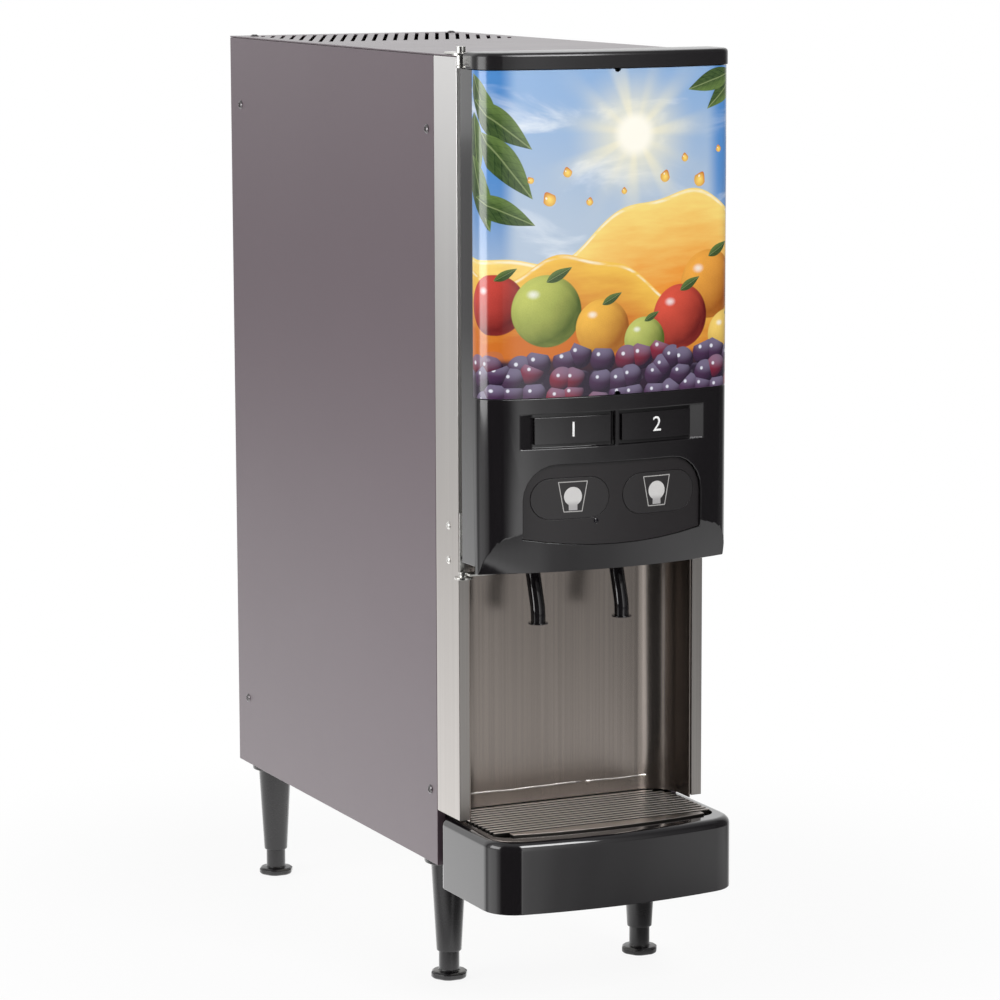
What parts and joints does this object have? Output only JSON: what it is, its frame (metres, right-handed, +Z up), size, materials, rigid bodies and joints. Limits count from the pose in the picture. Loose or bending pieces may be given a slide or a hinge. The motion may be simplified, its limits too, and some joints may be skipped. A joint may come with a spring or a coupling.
{
  "type": "refrigerated juice dispenser",
  "caption": "Tall narrow refrigerated juice dispenser on levelling legs, with a hinged front door that carries the picture and push controls, nozzles and a pull-out drip tray.",
  "frame": {"origin": "bottom centre of the bounding box, on the surface that the feet stand on", "axes": "+Z up; -Y is the front, where the door and the tray are; +X is to the right of someone who stands in front of it"},
  "size_m": [0.2435, 0.6059, 0.8258],
  "materials": {
    "grey_paint": "satin",
    "stainless": "brushed",
    "zinc": "satin",
    "black_gloss": "gloss",
    "black_satin": "satin",
    "picture_sheet": "gloss",
    "white_plastic": "satin",
    "milky_plastic": "satin",
    "foam": "matte",
    "copper": "satin",
    "brass": "satin",
    "black_metal": "satin",
    "fins": "satin",
    "circuit_board": "satin",
    "gasket": "matte"
  },
  "bodies": {
    "cabinet": {"base_pan": "zinc", "left_side_panel": "grey_paint", "right_side_panel": "grey_paint", "top_cover": "grey_paint", "rear_panel": "grey_paint", "front_frame": "stainless", "splash_panel": "stainless", "hinge_screw_upper": "zinc", "hinge_screw_lower": "zinc", "cold_liner": "white_plastic", "foam_jacket": "foam", "container_shelf": "white_plastic", "juice_container_left": "milky_plastic", "juice_container_right": "milky_plastic", "pump_left": "black_satin", "pump_right": "black_satin", "nozzle_left": "black_gloss", "nozzle_right": "black_gloss", "chill_tank": "white_plastic", "chill_tank_lid": "white_plastic", "chilling_coil": "copper", "agitator_motor": "black_metal", "component_shelf": "zinc", "compressor": "black_metal", "condenser": "fins", "fan_shroud": "black_metal", "fan_motor": "black_metal", "control_board": "circuit_board", "power_supply": "zinc", "power_entry": "black_satin", "water_valve": "brass", "upper_hinge_bracket": "zinc", "lower_hinge_bracket": "zinc", "leg_sleeve_front_left": "black_satin", "leg_sleeve_front_right": "black_satin", "leg_sleeve_rear_left": "black_satin", "leg_sleeve_rear_right": "black_satin"},
    "door": {"door_fascia": "black_gloss", "door_cap": "black_gloss", "graphic_panel": "picture_sheet", "light_board": "white_plastic", "door_inner_panel": "white_plastic", "door_gasket": "gasket", "control_panel": "black_satin", "button_board": "circuit_board", "label_plate_left": "black_gloss", "label_plate_right": "black_gloss", "upper_hinge_leaf": "zinc", "lower_hinge_leaf": "zinc"},
    "button_left": {"button_left": "black_satin"},
    "button_right": {"button_right": "black_satin"},
    "drip_tray": {"drip_tray": "black_gloss"},
    "drip_grille": {"drip_grille": "stainless"},
    "fan": {"fan": "black_satin"},
    "agitator": {"agitator": "stainless"},
    "power_rocker": {"power_rocker": "black_satin"},
    "levelling_foot_front_left": {"levelling_foot_front_left": "black_satin"},
    "levelling_foot_front_right": {"levelling_foot_front_right": "black_satin"},
    "levelling_foot_rear_left": {"levelling_foot_rear_left": "black_satin"},
    "levelling_foot_rear_right": {"levelling_foot_rear_right": "black_satin"}
  },
  "joints": [
    {"name": "door_hinge", "type": "hinge", "parent": "cabinet", "child": "door", "pos_m": [-0.1165, -0.226, 0.6], "axis": [0, 0, -1], "range_deg": [0, 110]},
    {"name": "left_button_press", "type": "slide", "parent": "door", "child": "button_left", "axis": [0, 1, 0], "range_m": [0, 0.0012], "stiffness_N_per_m": 800},
    {"name": "right_button_press", "type": "slide", "parent": "door", "child": "button_right", "axis": [0, 1, 0], "range_m": [0, 0.0012], "stiffness_N_per_m": 800},
    {"name": "tray_slide", "type": "slide", "parent": "cabinet", "child": "drip_tray", "axis": [0, -1, 0], "range_m": [0, 0.1]},
    {"name": "grille_lift", "type": "slide", "parent": "drip_tray", "child": "drip_grille", "axis": [0, 0, 1], "range_m": [0, 0.03]},
    {"name": "fan_spin", "type": "hinge", "parent": "cabinet", "child": "fan", "pos_m": [0, 0.206, 0.5038], "axis": [0, 1, 0], "continuous": true},
    {"name": "agitator_spin", "type": "hinge", "parent": "cabinet", "child": "agitator", "pos_m": [0, -0.043, 0.3298], "axis": [0, 0, 1], "continuous": true},
    {"name": "power_switch", "type": "hinge", "parent": "cabinet", "child": "power_rocker", "pos_m": [0.069, 0.2985, 0.215], "axis": [1, 0, 0], "range_deg": [0, 18]},
    {"name": "foot_screw_front_left", "type": "slide", "parent": "cabinet", "child": "levelling_foot_front_left", "axis": [0, 0, -1], "range_m": [0, 0.015]},
    {"name": "foot_screw_front_right", "type": "slide", "parent": "cabinet", "child": "levelling_foot_front_right", "axis": [0, 0, -1], "range_m": [0, 0.015]},
    {"name": "foot_screw_rear_left", "type": "slide", "parent": "cabinet", "child": "levelling_foot_rear_left", "axis": [0, 0, -1], "range_m": [0, 0.015]},
    {"name": "foot_screw_rear_right", "type": "slide", "parent": "cabinet", "child": "levelling_foot_rear_right", "axis": [0, 0, -1], "range_m": [0, 0.015]}
  ]
}
